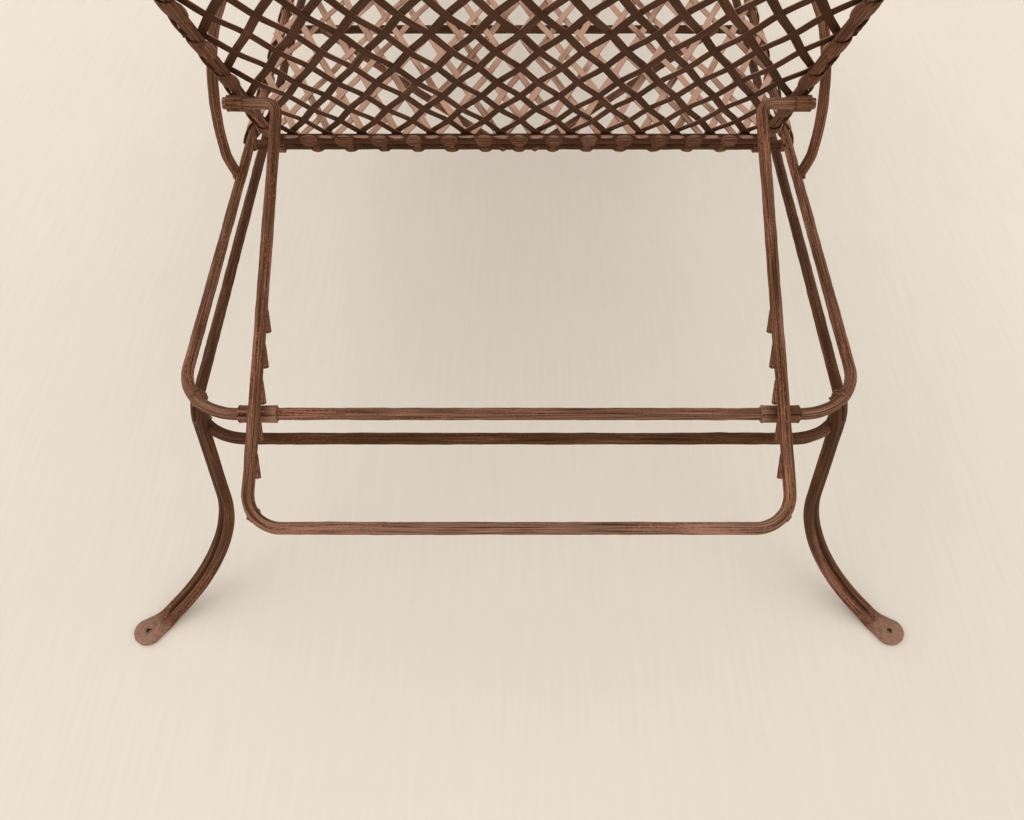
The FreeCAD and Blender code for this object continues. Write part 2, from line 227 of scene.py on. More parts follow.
# Share of red rust, dryness of the ridges and softness of the grain's edges in each finish
FINISHES = {"rod_rust": (0.09, 0.45, 0.17), "strap_rust": (-0.02, 0.3, 0.3)}


# Rusted iron: a grain along each rod or strap, red flecks, pale bloom for wear and painted light, dark in
# the grooves, and dark rust for dirt and painted shade
def iron(name, rust_share, dry, soft):
    material = bpy.data.materials.new(name)
    material.use_nodes = True
    tree = material.node_tree
    shader = tree.nodes["Principled BSDF"]
    c = colours()
    start = Shade(tree)
    grain = start.node("ShaderNodeAttribute", {"attribute_name": "grain"}, None, "Vector")
    wear = start.node("ShaderNodeAttribute", {"attribute_name": "wear"}, None, "Fac")
    streak = grain.clouds(*STREAK)
    patch = grain.clouds(*PATCH)
    fleck = grain.clouds(*FLECK)
    pits = grain.clouds(*PITS)
    grained = streak.step(0.5 - soft, 0.5 + soft).tint(c.shade, c.body)
    pitted = (PIT_DEPTH * pits.step(*PIT_RANGE)).tint(grained, c.shade)
    red = (fleck + 0.7 * patch + rust_share).step(*RED_RANGE)
    rusty = (RED_DEPTH * red).tint(pitted, c.rust)
    ridge = (streak + 0.6 * patch).step(*RIDGE_RANGE)
    dusty = (dry * ridge).tint(rusty, c.bloom)
    # The wear value gives pale bloom above 0, for wear and painted light, and dark rust below 0, for dirt
    # and painted shade
    rubbed = WEAR_AND_LIGHT_GAIN * wear.step(0.0, 1.0)
    worn = (rubbed * (streak + 0.25 * wear).step(*WORN_RANGE)).tint(dusty, c.bloom)
    dirty_and_shaded = (DIRT_AND_SHADE_DEPTH * (-1.0 * wear).step(0.0, 1.0)).tint(worn, c.shade)
    height = 0.8 * streak + 0.2 * pits
    relief = {"Strength": BUMP_STRENGTH, "Distance": BUMP_DEPTH, "Height": height}
    bump = start.node("ShaderNodeBump", None, relief)
    rough = 0.5 + 0.32 * patch
    for key, value in (("Base Color", dirty_and_shaded), ("Roughness", rough), ("Normal", bump)):
        tree.links.new(value.socket, shader.inputs[key])
    shader.inputs["Specular IOR Level"].default_value = SHINE


def pick(*pieces):
    """Selects these pieces alone, the first as the active one."""
    bpy.ops.object.select_all(action="DESELECT")
    for piece in pieces:
        piece.select_set(True)
    if pieces:
        bpy.context.view_layer.objects.active = pieces[0]


def newest(name):
    """The object that was just made, named."""
    piece = bpy.context.object
    piece.name = name
    piece.data.name = name
    return piece


def close_up():
    """Joins the active piece's seams and turns its faces outwards."""
    bpy.ops.object.mode_set(mode="EDIT")
    bpy.ops.mesh.select_all(action="SELECT")
    bpy.ops.mesh.remove_doubles(threshold=SEAM)
    bpy.ops.mesh.normals_make_consistent(inside=False)
    bpy.ops.object.mode_set(mode="OBJECT")


# A piece starts as a grid, whose rows and columns are then laid along and around its form
def form(name, rows, columns, place, closed_rows=False):
    pick()
    bpy.ops.mesh.primitive_grid_add(x_subdivisions=columns, y_subdivisions=rows, size=1)
    piece = newest(name)
    # Adding the second attribute moves the first, so both are fetched afterwards
    layers = piece.data.attributes
    layers.new("grain", "FLOAT_VECTOR", "POINT")
    layers.new("wear", "FLOAT", "POINT")
    grain, wear = layers["grain"], layers["wear"]
    width = columns + 1
    for index, vertex in enumerate(piece.data.vertices):
        row, column = divmod(index, width)
        turn = 0 if column == columns else column
        step = 0 if closed_rows and row == rows else row
        vertex.co, grain.data[index].vector, wear.data[index].value = place(step, turn)
    close_up()
    return piece


def joined(name, parts):
    """One piece from several."""
    pick(*parts)
    if len(parts) > 1:
        bpy.ops.object.join()
    return newest(name)


def dress(piece, body, nodes=(), smooth=60, kind="rod_rust"):
    """Finish, shading, body and the nodes that a piece stands for."""
    pick(piece)
    bpy.ops.object.shade_smooth_by_angle(angle=radians(smooth))
    if kind not in bpy.data.materials:
        iron(kind, *FINISHES[kind])
    piece.data.materials.clear()
    piece.data.materials.append(bpy.data.materials[kind])
    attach(piece, body)
    if nodes:
        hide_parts(*nodes)


# A path of straight runs joined by arcs, as evenly spaced points
def bent_path(points, radii, closed=False):
    count = len(points)
    corners = []
    for i, (point, radius) in enumerate(zip(points, radii)):
        if not closed and i in (0, count - 1):
            corners.append([point])
            continue
        back = (points[i - 1] - point).normalized()
        ahead = (points[(i + 1) % count] - point).normalized()
        half = back.angle(ahead) / 2
        reach = radius / tan(half)
        centre = point + (back + ahead).normalized() * (radius / sin(half))
        spoke = point + back * reach - centre
        side = ahead.cross(back).normalized().cross(spoke)
        turn = pi - 2 * half
        pieces = max(ARC_LEAST, round(radius * turn / PATH_STEP))
        arc = []
        for k in range(pieces + 1):
            angle = turn * k / pieces
            arc.append(centre + spoke * cos(angle) + side * sin(angle))
        corners.append(arc)
    path = []
    for i, arc in enumerate(corners):
        path += arc
        if i + 1 < count or closed:
            ahead = corners[(i + 1) % count][0]
            runs = max(1, round((ahead - arc[-1]).length / PATH_STEP))
            path += [arc[-1].lerp(ahead, k / runs) for k in range(1, runs)]
    return path


def wave(x, y, z):
    """Smooth noise from -1 to 1."""
    return noise.noise(Vector((x, y, z)))


def eased(share):
    """A share from 0 to 1 that starts and ends slowly."""
    return share * share * (3 - 2 * share)


# Layers of the forged grain: share, waves per metre along, waves around and shift from rod to rod
BARK_LAYERS = ((0.4, 14, 2.4, 7.3), (0.55, 34, 7.5, 3.1), (0.4, 95, 4.2, 1.9))

# Its hammered lumps' share, waves per metre and shift, and how far it all lies inside the rod's radius
LUMP_SHARE, LUMP_WAVES, LUMP_SHIFT, BARK_SINK = 0.25, 36, 5.7, 0.5


# Depth of the forged grain at a place on a rod: long ridges, a little hammered unevenness
def bark(along, angle, seed):
    c, s = cos(angle), sin(angle)
    depth = 0.0
    for share, waves, turns, shift in BARK_LAYERS:
        depth += share * wave(along * waves, c * turns, s * turns + seed * shift)
    lumps = wave(along * LUMP_WAVES, seed * LUMP_SHIFT, 0.3)
    return depth + LUMP_SHARE * lumps - BARK_SINK


# Points round a rod, metres of grain between two rods, and slope below which a rod counts as level
ROD_COLUMNS, ROD_SHIFT, LEVEL_SLOPE = 44, 1.7, 0.02


# A forged rod for a node. Its wear value, pale above 0 for wear and painted light and dark below 0 for dirt
# and painted shade, is a number or a function of run, angle and direction
def rod(node, body, path, radius, seed, worn=0.0, closed=False):
    count = len(path)
    depth = sizes().bark_depth
    tangents = []
    for i in range(count):
        before = path[i - 1] if closed or i else path[i]
        after = path[(i + 1) % count] if closed or i + 1 < count else path[i]
        tangents.append((after - before).normalized())
    side = tangents[0].orthogonal().normalized()
    if all(abs(tangent.z) < LEVEL_SLOPE for tangent in tangents):
        side = UP.copy()
    sides = []
    for tangent in tangents:
        side = (side - tangent * side.dot(tangent)).normalized()
        sides.append(side)
    runs = [0.0]
    for a, b in zip(path, path[1:]):
        runs.append(runs[-1] + (b - a).length)
    rows = count if closed else count + 1

    def place(row, column):
        angle = tau * column / ROD_COLUMNS
        i = min(max(row - 1, 0), count - 1) if not closed else row % count
        along = runs[i] + seed * ROD_SHIFT
        grip = radius + depth * bark(along, angle, seed)
        if not closed and row in (0, rows):
            grip = 0.0
        spoke = sides[i] * cos(angle) + tangents[i].cross(sides[i]) * sin(angle)
        grain = Vector((along, radius * cos(angle), radius * sin(angle)))
        rub = worn(runs[i], angle, tangents[i]) if callable(worn) else worn
        return path[i] + spoke * grip, grain, rub

    dress(form(node + "_forged", rows, ROD_COLUMNS, place, closed), body, [node])


def straight(node, body, start, end, radius, seed, worn=0.0):
    rod(node, body, bent_path([start, end], [0, 0]), radius, seed, worn)


# A lump of weld metal where two rods meet
def weld(name, centre, reach, seed):
    rows, columns = 14, 22
    lumpy, waves, shift, grain_shift = 0.35, 1.8, 3.7, 0.31

    def place(row, column):
        polar = pi * row / rows
        angle = tau * column / columns
        flat = sin(polar)
        spoke = Vector((flat * cos(angle), flat * sin(angle), cos(polar)))
        swell = 1 + lumpy * noise.noise(spoke * waves + Vector((seed * shift, 0, 0)))
        point = Vector((spoke.x * reach.x, spoke.y * reach.y, spoke.z * reach.z)) * swell
        return centre + point, point + Vector((seed * grain_shift, 0, 0)), 0.0

    return form(name, rows, columns, place)


# A forged ring round a rod, turned from a profile of distances along the axis and radii
def ring(name, centre, profile, seed, rubbed=0):
    rows = len(profile)
    around = 32
    dent_depth, dent_waves, dent_turns = 0.25 * MM, 300, 2
    calm, grain_shift, rubbed_wear = 0.5, 0.27, 0.45

    def place(row, column):
        angle = tau * column / around
        c, s = cos(angle), sin(angle)
        along, radius = profile[row % rows]
        dent = dent_depth * wave(along * dent_waves, c * dent_turns, s * dent_turns + seed)
        point = Vector((along, (radius + dent) * c, (radius + dent) * s))
        grain = Vector((along + seed * grain_shift, calm * point.y, calm * point.z))
        return centre + point, grain, rubbed_wear if rubbed * along > 0 else 0.0

    return form(name, rows, around, place, True)


def sleeve_profile(length, bore, outside, lip):
    """Section of a sleeve, with a waist between two rolled lips."""
    half = length / 2
    edge = 0.08 * length
    rolled = outside + 0.4 * lip
    waist = outside - 0.3 * lip
    left = [(-half, bore), (-half, outside - lip), (-half + lip, rolled), (-half + edge, outside)]
    right = [(-along, radius) for along, radius in reversed(left)]
    return [*left, (0.0, waist), *right]


def lit_and_rubbed_across(flat, steep):
    """Wear and painted light of a bent rod: one value on stretches across the chaise, another on those
    along it.
    """
    return lambda run, angle, way: steep + (flat - steep) * abs(way.x)


class CHAISE_OT_rails(Operator):
    """Side rails, cross bars and braces of the frame"""

    bl_idname = "chaise.rails"
    bl_label = "Frame rails"

    def execute(self, context):
        corner = sizes().frame_corner
        # The upper rail is paler across the chaise with wear and painted light; painted shade darkens the
        # lower rail under it
        loops = (("upper_rail", RAIL_Z, lit_and_rubbed_across(flat=0.25, steep=0.1)), ("lower_rail", LOW_Z, -0.6))
        turns = ((1, -1), (1, 1), (-1, 1), (-1, -1))
        for seed, (node, z, worn) in enumerate(loops):
            points = [Vector((x * HALF_W, y * HALF_L, z)) for x, y in turns]
            rod(node, "frame", bent_path(points, [corner] * 4, True), RAIL_R, seed, worn, True)
        inside = HALF_W - 0.5 * RAIL_R
        bars = (("hinge_rail", HINGE.y, RAIL_Z), ("mid_crossbar", CROSS_Y, LOW_Z))
        for seed, (node, y, z) in enumerate(bars, 3):
            ends = Vector((-inside, y, z)), Vector((inside, y, z))
            # Painted shade darkens both bars, which lie under the straps
            straight(node, "frame", *ends, RAIL_R, seed, worn=-0.7)
        radius = 5 * MM
        for side, hand in SIDES:
            low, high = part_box("brace_" + hand)
            outer = (high.x if side > 0 else low.x) - side * radius
            inner = (low.x if side > 0 else high.x) + side * radius
            start = Vector((outer, CROSS_Y + RAIL_R, LOW_Z))
            end = Vector((inner, HINGE.y - RAIL_R, RAIL_Z))
            straight("brace_" + hand, "frame", start, end, radius, 5 + side)
        return {"FINISHED"}


class CHAISE_OT_legs(Operator):
    """Four legs of paired rods, forged into spoon feet with a nail hole"""

    bl_idname = "chaise.legs"
    bl_label = "Legs"

    # Drops of the rounded top's rows in millimetres, rows down the leg and columns across it
    TOP_DROPS = (0.0, 1.0, 2.5, 4.0)
    STRAIGHT_ROWS, SWEEP_ROWS, PAD_ROWS, HALF_COLUMNS = 16, 26, 26, 24

    def execute(self, context):
        for side_y, end in ((-1, "head"), (1, "foot")):
            for side_x, hand in SIDES:
                self.leg("leg_%s_%s" % (end, hand), side_x, side_y)
        return {"FINISHED"}

    def leg(self, node, side_x, side_y):
        s = sizes()
        out = Vector((side_x * cos(s.leg_splay), side_y * sin(s.leg_splay), 0))
        across = Vector((-out.y, out.x, 0))
        centre = Vector((side_x * (HALF_W - s.frame_corner), side_y * (HALF_L - s.frame_corner), 0))
        seat = RAIL_Z - RAIL_R
        bend_end = s.leg_rod + s.leg_run_out * cos(s.leg_turn)
        bend_top = bend_end + s.leg_bend * (sin(s.leg_turn) - sin(s.leg_lean))

        def lean(z):
            drop = seat - z
            drawn = max(0.0, 1 - drop / s.leg_neck)
            return s.frame_corner + s.leg_offset * (1 - 2 * drawn * drawn) + drop * tan(s.leg_lean)

        foot = lean(bend_top) + s.leg_bend * (cos(s.leg_lean) - cos(s.leg_turn))
        flat = s.foot_thick / 2
        level_at = 0.5
        crown = seat + 0.6 * RAIL_R
        tops = [crown - drop * MM for drop in self.TOP_DROPS]
        stations = [(lean(z), z, 0.0) for z in tops]
        for k in range(1, self.STRAIGHT_ROWS):
            z = tops[-1] + (bend_top - tops[-1]) * k / self.STRAIGHT_ROWS
            stations.append((lean(z), z, 0.0))
        for k in range(self.SWEEP_ROWS + 1):
            turn = s.leg_lean + (s.leg_turn - s.leg_lean) * k / self.SWEEP_ROWS
            r = lean(bend_top) + s.leg_bend * (cos(s.leg_lean) - cos(turn))
            stations.append((r, bend_top - s.leg_bend * (sin(turn) - sin(s.leg_lean)), 0.0))
        for k in range(1, self.PAD_ROWS + 1):
            t = k / self.PAD_ROWS
            slope = bend_end - s.foot_length * t * cos(s.leg_turn)
            z = slope + (flat - slope) * eased(min(1.0, t / level_at))
            stations.append((foot + s.foot_length * t, z, t))
        seed = 2 + side_x + 2 * side_y
        piece = self.loft(node, stations, centre, out, across, seed)
        self.drill(piece, centre + out * (foot + s.foot_length - s.foot_width / 2))
        dress(piece, "frame", [node], 50)

    def loft(self, node, stations, centre, out, across, seed):
        """Two rods side by side that run together and spread into a flat round toe."""
        s = sizes()
        half = self.HALF_COLUMNS
        columns = 2 * half
        rows = len(stations) - 1
        rod_wide = s.leg_pitch / 2 + s.leg_rod
        toe_wide = s.foot_width / 2
        toe_start = 1 - toe_wide / s.foot_length
        square, flare, edge_slope, edge_power = 2.7, 1.6, 2.2, 0.6
        merged_at, groove_half, tip_rows, leg_shift = 0.42, 0.3, 3, 1.3
        leg_bark, pad_calm = 0.6, 0.6
        # Painted shade at the leg's top under the rails, and how fast it fades towards the foot
        top_shade, top_shade_power = 0.75, 3
        dust_mean, dust_spread, dust_waves = 0.62, 0.12, 420
        pad_fine, pad_run = 2.2, 9
        runs = [0.0]
        for (r0, z0, t0), (r1, z1, t1) in zip(stations, stations[1:]):
            runs.append(runs[-1] + hypot(r1 - r0, z1 - z0))

        def place(row, column):
            r, z, t = stations[row]
            r0, z0, t0 = stations[max(row - 1, 0)]
            r1, z1, t1 = stations[min(row + 1, rows)]
            tangent = (out * (r1 - r0) + UP * (z1 - z0)).normalized()
            normal = across.cross(tangent)
            angle = tau * column / columns
            share, lift = cos(angle), sin(angle)
            wide = rod_wide + (toe_wide - rod_wide) * min(1.0, t / toe_start) ** flare
            if t > toe_start:
                wide = toe_wide * sqrt(max(0.0, 1 - ((t - toe_start) / (1 - toe_start)) ** 2))
            offset = abs(share) * rod_wide - s.leg_pitch / 2
            twin = s.leg_rod * max(0.0, 1 - (abs(offset) / s.leg_rod) ** square) ** (1 / square)
            flat = s.foot_thick / 2 * min(1.0, abs(lift) * edge_slope) ** edge_power
            merge = min(1.0, t / merged_at)
            tall = twin + (flat - twin) * eased(merge)
            close = sqrt(1 - (1 - min(1.0, row / tip_rows)) ** 2)
            tall *= close * copysign(1, lift) if column % half else 0.0
            along = runs[row] + seed * leg_shift
            rough = s.bark_depth * leg_bark * bark(along, angle, seed) * (1 - pad_calm * merge) * close
            point = centre + out * r + UP * z
            point += across * (share * wide * close) + normal * tall
            point += (across * share + normal * lift) * rough * (0 if row in (0, rows) else 1)
            point.z = max(point.z, 0.0)
            # Painted shade in the crease between the two rods and at the leg's top; the pad is paler with
            # dust
            groove_shade = max(0.0, 1 - abs(share) / groove_half) * (1 - merge)
            top_shading = top_shade * (1 - (runs[row] / runs[-1]) ** top_shade_power)
            dust = dust_mean + dust_spread * noise.noise(point * dust_waves)
            fine = 1 + pad_fine * merge
            grain = Vector((along + pad_run * s.foot_length * t, share * wide * fine, tall * fine))
            return point, grain, merge * dust - groove_shade - top_shading

        return form(node + "_forged", rows, columns, place)

    def drill(self, piece, centre):
        """The nail hole through the pad."""
        s = sizes()
        pick()
        deep = 6 * s.foot_thick
        bpy.ops.mesh.primitive_cylinder_add(vertices=20, radius=s.nail_hole, depth=deep, location=centre)
        tool = bpy.context.object
        bpy.ops.object.transform_apply(location=True, rotation=True, scale=True)
        pick(piece)
        cut = piece.modifiers.new("nail_hole", "BOOLEAN")
        cut.object = tool
        cut.operation = "DIFFERENCE"
        cut.solver = "EXACT"
        bpy.ops.object.modifier_apply(modifier=cut.name)
        bpy.data.objects.remove(tool)


class CHAISE_OT_arms(Operator):
    """Hooped arm rests welded outside the upper rail"""

    bl_idname = "chaise.arms"
    bl_label = "Arm rests"

    def execute(self, context):
        s = sizes()
        for side, hand in SIDES:
            low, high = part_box("arm_" + hand)
            radius = (high.x - low.x) / 2
            x = (low.x + high.x) / 2
            top = high.z - radius
            foot_x = side * (HALF_W + 0.8 * RAIL_R)
            knee, knee_bend = RAIL_Z + 4 * radius, 6 * radius
            rear, front = low.y + radius, high.y - radius
            points = [Vector((foot_x, rear, low.z)), Vector((x, rear, knee)), Vector((x, rear, top)),
                      Vector((x, front, top)), Vector((x, front, knee)), Vector((foot_x, front, low.z))]
            path = bent_path(points, [0, knee_bend, s.arm_bend, s.arm_bend, knee_bend, 0])
            # The arms are a little darker
            rod("arm_" + hand, "frame", path, radius, 10 + side, worn=-0.2)
        return {"FINISHED"}


class CHAISE_OT_rings(Operator):
    """Collars on the head rail, hinge eyes and prop sleeves"""

    bl_idname = "chaise.rings"
    bl_label = "Collars, eyes and sleeves"

    def execute(self, context):
        loose, shy = RAIL_R + 0.08 * MM, 0.2 * MM
        # Kind, body, bore, height of the lips and how much slimmer than its box
        kinds = (("collar", "frame", RAIL_R, 0.8 * MM, 0.0), ("hinge_eye", "back", loose, 0.6 * MM, 0.0),
                 ("prop_sleeve", "back", loose, 0.3 * MM, 1.2 * MM))
        seed = 20
        for kind, body, bore, lip, slim in kinds:
            for side, hand in SIDES:
                node = "%s_%s" % (kind, hand)
                low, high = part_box(node)
                outside = (high.z - low.z) / 2 - shy - slim
                profile = sleeve_profile(high.x - low.x, bore, outside, lip)
                seed += 1
                rubbed = -side if kind == "collar" else 0
                piece = ring(node + "_forged", middle(node), profile, seed, rubbed)
                dress(piece, body, [node], 40)
        return {"FINISHED"}


class Lattice:
    """A field of crossing straps between rails: its outline, its weave and where its points lie."""

    # How far a strap's end curls round a rail, at the hinge less than elsewhere
    FULL_CURL, HINGE_CURL = radians(155), radians(75)

    # Points along a strap: steps to a diamond, fewest steps and distance between points in a curl
    DIAMOND_STEPS, LEAST_STEPS, CURL_STEP = 12, 8, 2.2 * MM

    # How fast painted shade darkens a curl going under the rail, at the hinge, elsewhere, and the turn at
    # which that starts
    HINGE_DARK, RAIL_DARK, DARK_FROM = 2.6, 1.4, 0.6

    # Wraps in degrees, mm and shares: end angle, half width, lip and its spread, slant, swell and taper
    SIDE_WRAP = (310, 19.0, 0.9, 0.8, -16, 0.6, 0.66)
    END_WRAP = (292, 10.5, 0.2, 0.0, 0, 0.9, 0.8)

    def __init__(self, half, length, columns, rows, corner, lay):
        self.half, self.length, self.corner, self.lay = half, length, corner, lay
        self.columns, self.rows = columns, rows
        self.step_x, self.step_y = 2 * half / columns, length / rows

    def past_rail(self, x, y):
        """How far a place lies outside the rails' axes, and the way out."""
        inset_x = abs(x) - (self.half - self.corner)
        inset_y = y - (self.length - self.corner)
        sign = copysign(1, x)
        if inset_x > 0 and inset_y > 0:
            reach = max(hypot(inset_x, inset_y), 1e-9)
            return reach - self.corner, (sign * inset_x / reach, inset_y / reach)
        ways = ((abs(x) - self.half, (sign, 0.0)), (y - self.length, (0.0, 1.0)), (-y, (0.0, -1.0)))
        return max(ways)

    def lines(self):
        """Start and end of each strap of one diagonal, on the rails' axes."""
        starts = [(-self.half + (i + 0.5) * self.step_x, 0.0) for i in range(self.columns)]
        starts += [(-self.half, (j + 0.5) * self.step_y) for j in range(self.rows)]
        slope = self.step_y / self.step_x
        for x, y in starts:
            end_x = min(self.half, x + (self.length - y) / slope)
            end_y = y + (end_x - x) * slope
            if self.past_rail((x + end_x) / 2, (y + end_y) / 2)[0] < -sizes().strap_width:
                yield (x, y), (end_x, end_y)

    def strap_points(self, start, end, mirror, keep_off):
        """Points of a strap's middle line with curled ends: place, way that it faces, run and the painted
        shade of its curl.
        """
        s = sizes()
        dx, dy = end[0] - start[0], end[1] - start[1]
        run = hypot(dx, dy)
        ux, uy = dx / run, dy / run
        pace = hypot(self.step_x, self.step_y) / self.DIAMOND_STEPS
        count = max(self.LEAST_STEPS, round(run / pace))
        tuck = 2 * self.FULL_CURL * s.strap_level
        hug = RAIL_R + 0.6 * s.strap_thick
        early, late = [-gap if gap > 0 else tuck for gap in keep_off]
        fine = self.CURL_STEP
        marks = [-early + fine * k for k in range(max(0, int(early / fine)))]
        first = max(0.0, -early)
        last = run + min(0.0, late)
        marks += [first + (last - first) * k / count for k in range(count + 1)]
        marks += [run + fine * k for k in range(1, max(0, int(late / fine)) + 1)]
        points = []
        for mark in marks:
            x = start[0] + ux * mark
            y = start[1] + uy * mark
            past, way = self.past_rail(x, y)
            weave = cos(pi * y / (self.step_y / 2)) * s.weave_rise * mirror
            level = s.strap_level + weave
            bend = max(0.0, past / level)
            at_hinge = way[1] < 0
            if bend > (self.HINGE_CURL if at_hinge else self.FULL_CURL):
                continue
            grip = level + (hug - level) * min(1.0, bend)
            sunk = grip * sin(bend) - max(0.0, past)
            # Painted shade: the strap darkens as it curls under the rail
            painted_shade = self.HINGE_DARK * bend if at_hinge else self.RAIL_DARK * max(0.0, bend - self.DARK_FROM)
            place = (x + way[0] * sunk, y + way[1] * sunk, grip * cos(bend))
            facing = (way[0] * sin(bend), way[1] * sin(bend), cos(bend))
            points.append((place, facing, mark, painted_shade))
        return points

    def strap(self, name, start, end, mirror, keep_off, seed):
        """One flat strap with rounded edges, laid over and under the straps that it crosses."""
        s = sizes()
        places = self.strap_points(start, end, mirror, keep_off)
        mids, tops = [], []
        for (x, y, z), (face_x, face_y, face_z), mark, painted_shade in places:
            mids.append(self.lay(mirror * x, y, z))
            tops.append(self.lay(mirror * (x + face_x), y + face_y, z + face_z) - mids[-1])
        half, thick = s.strap_width / 2, s.strap_thick / 2
        bevel, crown = 0.5 * thick, 1.12 * thick
        under = [(-half, -bevel), (-half + bevel, -thick), (half - bevel, -thick), (half, -bevel)]
        over = [(half, bevel), (half - bevel, thick), (0.0, crown), (-half + bevel, thick), (-half, bevel)]
        section = under + over
        edge_spread, edge_waves = 0.07, 40
        sway_half, sway_waves = 0.35 * MM, 14
        worn_mean, worn_spread, worn_waves = 0.78, 0.85, 11
        # Share of the patchy wear on the undersides, and the painted shade that darkens them
        under_share, underside_shade = 0.45, 1.15
        rows = len(mids) + 1
        last = len(mids) - 1

        def place(row, column):
            i = min(max(row - 1, 0), last)
            tangent = (mids[min(i + 1, last)] - mids[max(i - 1, 0)]).normalized()
            side = tangent.cross(tops[i]).normalized()
            normal = side.cross(tangent)
            a, b = section[column % len(section)]
            if row in (0, rows):
                a, b = 0.0, 0.0
            mark, painted_shade = places[i][2:]
            uneven = 1 + edge_spread * wave(mark * edge_waves, seed * 3.3, 0.0)
            sway = sway_half * wave(mark * sway_waves, seed * 5.1, 7.0)
            grain = Vector((mark + seed * 0.9, a, b))
            patchy = worn_mean + worn_spread * wave(mark * worn_waves, seed * 2.9, 3.0)
            # Upper faces: patchy wear less the curl's painted shade; undersides: painted shade
            worn = patchy - painted_shade if b > 0 else under_share * patchy - underside_shade
            return mids[i] + side * (a * uneven + sway) + normal * b, grain, worn

        return form(name, rows, len(section), place)

    def straps(self, name, mirror, keep_off):
        parts = []
        for seed, (start, end) in enumerate(self.lines()):
            gaps = (keep_off(start), keep_off(end))
            parts.append(self.strap("%s_%d" % (name, seed), start, end, mirror, gaps, seed + 40 * mirror))
        return joined(name, parts)

    def folds(self, clear):
        """Fold places on the rails as x, y and the way out."""
        for i in range(1, self.columns):
            x = -self.half + i * self.step_x
            if abs(x) < clear:
                yield x, 0.0, (0.0, -1.0)
            if abs(x) < self.half - self.corner:
                yield x, self.length, (0.0, 1.0)
        for j in range(self.rows):
            y = (j + 0.5) * self.step_y
            if y < self.length - self.corner:
                yield -self.half, y, (-1.0, 0.0)
                yield self.half, y, (1.0, 0.0)

    def wrap(self, name, x, y, way, seed):
        """A strap's end beaten round the rail: over its outside and its back, up to a long oval lip."""
        on_side = way[0] != 0
        shape = self.SIDE_WRAP if on_side else self.END_WRAP
        turn, width, lip_mean, lip_spread, slant, swell, taper = shape
        rows, half = 16, 6
        columns = 2 * half
        along = (-way[1], way[0])
        start, end = radians(40), radians(turn)
        chance = wave(seed * 2.3, 1.0, 0.0)
        wide = (width + 2.0 * chance) * MM
        stout = (2.5 + 0.6 * chance) * MM
        loose = (lip_mean + lip_spread * chance) * MM
        drift = slant * MM
        gap, dent_depth = 0.1 * MM, 0.45 * MM
        # Painted highlight: pale on top of the side wraps, partly wear, and on the rear of the folds at the
        # ends
        top_gain, top_reach, rear_gain, rear_from = 1.8, 0.25, 3.0, 1.3

        def place(row, column):
            t = row / rows
            angle = start + (end - start) * t
            grown = eased(min(1.0, t / swell))
            closing = max(0.0, (t - taper) / (1 - taper))
            full = (0.35 + 0.65 * grown) * sqrt(max(0.0, 1 - closing * closing))
            inner = column > half
            spot = column / half if not inner else (columns - column) / half
            u = 2 * spot - 1
            dome = sqrt(max(0.0, 1 - u * u))
            lip = max(0.0, u * along[1]) if on_side else max(0.0, u)
            height = RAIL_R + gap + loose * lip * lip * sin(pi * t)
            if not inner and row not in (0, rows):
                height += stout * (0.12 + 0.88 * dome) * min(1.0, 0.3 + full)
            # Painted highlight on the rear of the end folds, and on top of the side wraps with some wear
            painted_highlight = rear_gain * max(0.0, angle / pi - rear_from)
            if on_side:
                painted_highlight = top_gain * max(0.0, cos(angle) + top_reach)
            dent = dent_depth * wave(u * 1.6, t * 3.5, seed * 4.1)
            out = sin(angle) * (height + dent)
            rise = cos(angle) * (height + dent)
            shift = u * wide * full + drift * way[0] * (2 * t - 1)
            point = self.lay(x + along[0] * shift + way[0] * out, y + along[1] * shift + way[1] * out, rise)
            return point, Vector((shift + seed * 0.11, out, rise)), 0.3 * dome - 0.45 + painted_highlight

        return form(name, rows, columns, place)

    def wraps(self, name, clear):
        parts = []
        for seed, (x, y, way) in enumerate(self.folds(clear)):
            parts.append(self.wrap("%s_%d" % (name, seed), x, y, way, seed))
        return joined(name, parts)

    def fill(self, part, body, under, clear, keep_off):
        """Both layers of straps and their wraps, as pieces of a body."""
        for layer, mirror in (("under", under), ("over", -under)):
            node = "%s_straps_%s" % (part, layer)
            straps = self.straps(node + "_woven", mirror, keep_off)
            dress(straps, body, [node], 35, "strap_rust")
        wraps = self.wraps(part + "_wraps_beaten", clear)
        dress(wraps, body, [part + "_wraps"], kind="strap_rust")


class CHAISE_OT_seat(Operator):
    """Woven straps of the seat and their folds round the rails"""

    bl_idname = "chaise.seat"
    bl_label = "Seat lattice"

    def execute(self, context):
        s = sizes()

        def lay(x, y, z):
            return Vector((x, HINGE.y + y, RAIL_Z + z))

        eye_room = 12 * MM
        eye_low, eye_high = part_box("hinge_eye_right")
        clear = eye_low.x - eye_room
        keep = eye_high.z - eye_low.z

        def keep_off(point):
            return keep if point[1] < RAIL_R and abs(point[0]) > clear else 0.0

        field = Lattice(HALF_W, HALF_L - HINGE.y, s.seat_columns, s.seat_rows, s.frame_corner, lay)
        field.fill("seat", "frame", 1, clear, keep_off)
        return {"FINISHED"}


def on_back(x, up, out):
    """A place on the back: across, up the slope from the hinge and towards the sitter."""
    angle = sizes().back_angle
    slope = Vector((0, -cos(angle), sin(angle)))
    sitter = Vector((0, sin(angle), cos(angle)))
    return HINGE + ACROSS * x + slope * up + sitter * out


